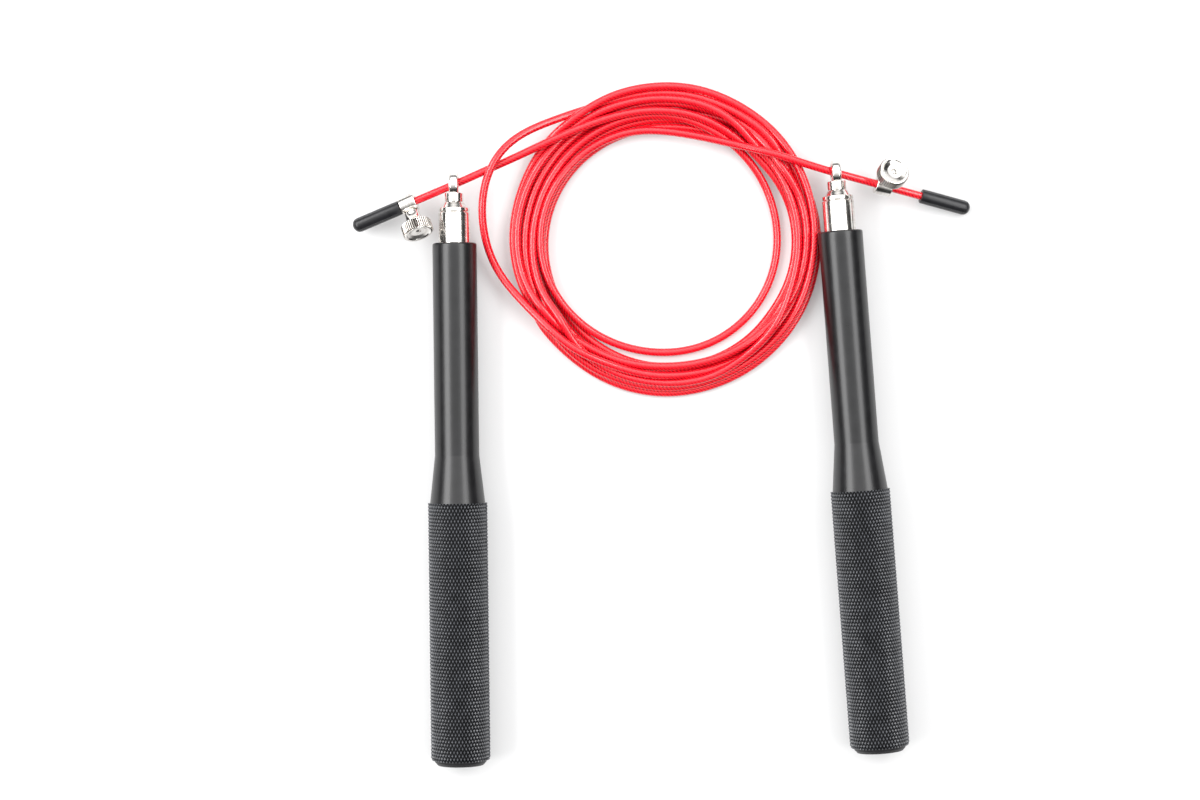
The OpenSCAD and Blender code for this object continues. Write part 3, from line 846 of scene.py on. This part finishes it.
def spline(points, extra, per=6):
    """Centripetal Catmull-Rom curve through points; extra is carried along linearly."""
    p = np.concatenate([[2 * points[0] - points[1]], points, [2 * points[-1] - points[-2]]])
    out, out_extra = [], []
    for i in range(len(points) - 1):
        p0, p1, p2, p3 = p[i:i + 4]
        t1 = np.sqrt(np.linalg.norm(p1 - p0))
        t2 = t1 + np.sqrt(np.linalg.norm(p2 - p1))
        t3 = t2 + np.sqrt(np.linalg.norm(p3 - p2))
        for t in np.linspace(t1, t2, per, endpoint=False):
            a1 = (t1 - t) / t1 * p0 + t / t1 * p1
            a2 = (t2 - t) / (t2 - t1) * p1 + (t - t1) / (t2 - t1) * p2
            a3 = (t3 - t) / (t3 - t2) * p2 + (t - t2) / (t3 - t2) * p3
            b1 = (t2 - t) / t2 * a1 + t / t2 * a2
            b2 = (t3 - t) / (t3 - t1) * a2 + (t - t1) / (t3 - t1) * a3
            out.append((t2 - t) / (t2 - t1) * b1 + (t - t1) / (t2 - t1) * b2)
            f = (t - t1) / (t2 - t1)
            out_extra.append((1 - f) * extra[i] + f * extra[i + 1])
    out.append(points[-1])
    out_extra.append(extra[-1])
    return np.array(out), np.array(out_extra)


STIFF, STEEP = (60.0, 0.22), (35.0, 0.40)   # an arch's bend radius in mm, and its steepest slope
ARCH_REACH, BLOCK_LENGTH, BLOCK_OVERLAP = 70, 45, 60   # mm
# In each round of settling: how far the cable sinks, mm, and how much of the way back to where it was laid
SINK, HOME_PULL = 0.004, np.array([0.02, 0.02, 0.01])


def hump(support, spacing, bend, slope):
    """The lowest line over the supports that a stiff rope can take: arches of the given bend radius."""
    reach = int(ARCH_REACH / spacing)
    k = np.arange(-reach, reach + 1) * spacing
    flat = slope * bend
    drop = np.where(np.abs(k) < flat, k**2 / (2 * bend), flat**2 / (2 * bend) + slope * (np.abs(k) - flat))
    wide = np.concatenate([np.full(reach, -1e3), support, np.full(reach, -1e3)])
    out = np.full(len(support), -1e3)
    for i, d in enumerate(drop):
        out = np.maximum(out, wide[i:i + len(support)] - d)
    return out


def lay_heights(xy, turn, fixed, spacing):
    """Heights found by laying the rope down stretch by stretch, each resting on what lies there."""
    n = len(xy)
    floor = ROPE_D / 2
    z = np.full(n, np.nan)
    placed = np.zeros(n, bool)

    def put(first, last, pressed):
        """Lays the samples whose turn angle is from first to last."""
        whole = np.where((turn >= first) & (turn < last))[0]
        size = int(BLOCK_LENGTH / spacing)
        for start in range(0, len(whole), size):
            block = whole[start:start + size]
            others = np.where(placed)[0]
            support = np.full(len(block), floor)
            for j, i in enumerate(block):
                near = others[np.abs(others - i) > int(4 * ROPE_D / spacing)]
                d2 = ((xy[near] - xy[i]) ** 2).sum(axis=1)
                hit = d2 < ROPE_D**2
                if hit.any():
                    support[j] = max(floor, (z[near[hit]] + np.sqrt(ROPE_D**2 - d2[hit])).max())
            if pressed:
                above = np.maximum(support - SQUASH_FROM, 0)
                support = np.minimum(support, SQUASH_FROM) + SQUASH_ROOM * (1 - np.exp(-above / SQUASH_ROOM))
            span = int(BLOCK_OVERLAP / spacing)
            lead = np.arange(max(0, block[0] - span), block[0])
            lead = lead[placed[lead]]
            after = np.arange(block[-1] + 1, min(n, block[-1] + 1 + span))
            after = after[placed[after]]
            line = np.concatenate([lead, block, after])
            level = np.concatenate([z[lead], support, z[after]])
            loose = np.isnan(fixed[line])
            level = np.where(loose, level, fixed[line])
            arch = hump(level, spacing, *(STIFF if pressed else STEEP))
            z[line] = np.where(loose, arch, fixed[line])
            placed[block] = True

    for stretch in LAY_ORDER:
        put(*stretch)
    return np.where(np.isnan(fixed), z, fixed)


def settle(p, fixed, rounds=240):
    """Lets the laid rope relax: turns push apart, the floor holds them, and bends even out."""
    n = len(p)
    p = p.copy()
    home = p.copy()
    rest = np.linalg.norm(np.diff(p, axis=0), axis=1)
    free = ~fixed
    gap = int(3.2 * ROPE_D / rest.mean())
    for number in range(rounds):
        if number % 8 == 0:               # find again which samples are near each other
            cells = {}
            for i, key in enumerate(map(tuple, np.floor(p[:, :2] / (1.5 * ROPE_D)).astype(int))):
                cells.setdefault(key, []).append(i)
            pairs = []
            for (cx, cy), members in cells.items():
                b = np.array([j for dx in (-1, 0, 1) for dy in (-1, 0, 1)
                              for j in cells.get((cx + dx, cy + dy), ())])
                m = np.array(members)
                d2 = ((p[m][:, None] - p[b][None]) ** 2).sum(axis=2)
                ii, jj = np.where((b[None, :] - m[:, None] > gap) & (d2 < (1.4 * ROPE_D) ** 2))
                pairs.append(np.stack([m[ii], b[jj]]))
            i, j = np.concatenate(pairs, axis=1)
        for stride in (4, 2, 1):
            lap = (p[:-4 * stride] - 4 * p[stride:-3 * stride] + 6 * p[2 * stride:-2 * stride]
                   - 4 * p[3 * stride:-stride] + p[4 * stride:])
            inner = slice(2 * stride, n - 2 * stride)
            p[inner][free[inner]] -= (lap / 16)[free[inner]]
        p[free, 2] -= SINK
        p[free] += (home - p)[free] * HOME_PULL
        for _ in range(2):
            d = p[j] - p[i]
            dist = np.linalg.norm(d, axis=1)
            short = ROPE_D - dist
            hit = short > 0
            push = d[hit] / np.maximum(dist[hit], 1e-6)[:, None] * short[hit, None] * 0.5
            total, count = np.zeros_like(p), np.zeros(n)
            np.add.at(total, i[hit], -push)
            np.add.at(total, j[hit], push)
            np.add.at(count, i[hit], 1)
            np.add.at(count, j[hit], 1)
            p[free] += (total / np.maximum(count, 1)[:, None] * 1.5)[free]
            p[free, 2] = np.maximum(p[free, 2], ROPE_D / 2)
    return p


def rope_centreline(spacing):
    """The laid cable's plan and heights in mm, and which samples its eyes and stops hold in place."""
    points, angle = plan_route()
    curve, turn = spline(points, angle)
    step = np.linalg.norm(np.diff(curve, axis=0), axis=1)
    along = np.concatenate([[0], np.cumsum(step)])
    at = np.arange(0, along[-1], spacing)
    xy = np.stack([np.interp(at, along, curve[:, k]) for k in (0, 1)], axis=1)
    turn = np.interp(at, along, turn)
    xy = smooth(xy, PLAN_SMOOTHING / spacing, keep=int(KEPT_END / spacing))
    fixed = np.full(len(xy), np.nan)
    index = np.arange(len(xy))
    for side in SIDES:
        flat = TAIL_DIR[side][:2]
        reach = (xy - EYE[side][:2]) @ flat / (flat @ flat)
        end = index < END_SAMPLES if side == "left" else index > len(xy) - END_SAMPLES
        held = (reach > -2) & end
        xy[held] = EYE[side][:2] + reach[held, None] * flat
        fixed[held] = EYE[side][2] + reach[held] * TAIL_DIR[side][2]
    z = lay_heights(xy, turn, fixed, spacing)
    return xy, z, ~np.isnan(fixed)


ROPE_SIDES = 24
ROPE_LOBES, LOBE_DEPTH, LOBE_LAY = 6, 0.03, 11.0   # how the wires lift the coating, mm


def cable():
    """The coated wire cable, as a tube along its settled route."""
    xy, z, held = rope_centreline(ROPE_SPACING)
    line = settle(np.column_stack([xy, z]), held)
    line = smooth(line, 1.6 / ROPE_SPACING, keep=6)
    count = len(line)
    step = np.linalg.norm(np.diff(line, axis=0), axis=1)
    along = np.concatenate([[0], np.cumsum(step)])
    forward = np.gradient(line, axis=0)
    forward /= np.linalg.norm(forward, axis=1)[:, None]
    side = np.zeros_like(line)
    side[0] = np.cross(forward[0], (0, 0, 1))
    for i in range(count):
        start = side[i - 1] if i else side[0]
        start = start - forward[i] * (start @ forward[i])
        side[i] = start / np.linalg.norm(start)
    up = np.cross(forward, side)
    angle = np.linspace(0, math.tau, ROPE_SIDES, endpoint=False)
    lobes = np.cos(ROPE_LOBES * (angle[None] + math.tau * along[:, None] / LOBE_LAY))
    radius = ROPE_D / 2 - LOBE_DEPTH * (0.5 - 0.5 * lobes)
    points = (line[:, None] + radius[..., None] * (np.cos(angle)[None, :, None] * side[:, None]
                                                   + np.sin(angle)[None, :, None] * up[:, None]))
    points = np.concatenate([points.reshape(-1, 3), line[:1], line[-1:]]) * MM
    ring, spoke = np.meshgrid(np.arange(count - 1), np.arange(ROPE_SIDES), indexing="ij")
    ring, spoke = ring.ravel(), spoke.ravel()
    after = (spoke + 1) % ROPE_SIDES
    quads = np.stack([ring * ROPE_SIDES + spoke, (ring + 1) * ROPE_SIDES + spoke,
                      (ring + 1) * ROPE_SIDES + after, ring * ROPE_SIDES + after], axis=1)
    u, v = spoke / ROPE_SIDES, (spoke + 1) / ROPE_SIDES
    uvs = np.stack([np.stack([u, along[ring]], 1), np.stack([u, along[ring + 1]], 1),
                    np.stack([v, along[ring + 1]], 1), np.stack([v, along[ring]], 1)], axis=1)
    hub = count * ROPE_SIDES
    ends = [(hub, (k + 1) % ROPE_SIDES, k) for k in range(ROPE_SIDES)]
    ends += [(hub + 1, (count - 1) * ROPE_SIDES + k, (count - 1) * ROPE_SIDES + (k + 1) % ROPE_SIDES)
             for k in range(ROPE_SIDES)]
    end_uvs = [((0, 0), (0, 0), (0, 0))] * len(ends)
    mesh = build_mesh("cable", points, quads.tolist() + ends, uvs.tolist() + end_uvs)
    piece = add_piece("cable", mesh, "red_cable_coating", 60)
    finish_piece(piece, "cable", "red_cable_coating", "cable_coil", "cable_left_tail", "cable_right_tail")
    return piece, line * MM, along[-1] * MM


# ---------------------------------------------------------------- the object

make_camera()
make_world()
for name, (location, size, watts) in SOFTBOXES.items():
    make_softbox(name, location, size, watts)
make_floor(studio_floor())

rope, rope_path, rope_length = cable()
on_cable = []
for side in SIDES:
    place = handle_place(side)
    handle_shell(side, place)
    butt_plug(side, place)
    housing(side, place)
    nose(side, place)
    eye(side, place)
    on_cable += [stop(side), thumb_screw(side), cap(side)]

# What the pieces inside are made of, by the last word of their names
INSIDE = {"race": "bearing_steel", "balls": "bearing_steel", "cage": "cage_brass", "sleeve": "plain_steel",
          "washer": "plain_steel", "nut": "plain_steel"}
for name, node in frame["nodes"].items():
    slot = INSIDE.get(name.split("_")[-1])
    if slot:
        for material_slot in node.material_slots:
            material_slot.material = MATERIALS[slot]

bpy.context.scene.view_settings.view_transform = "Standard"
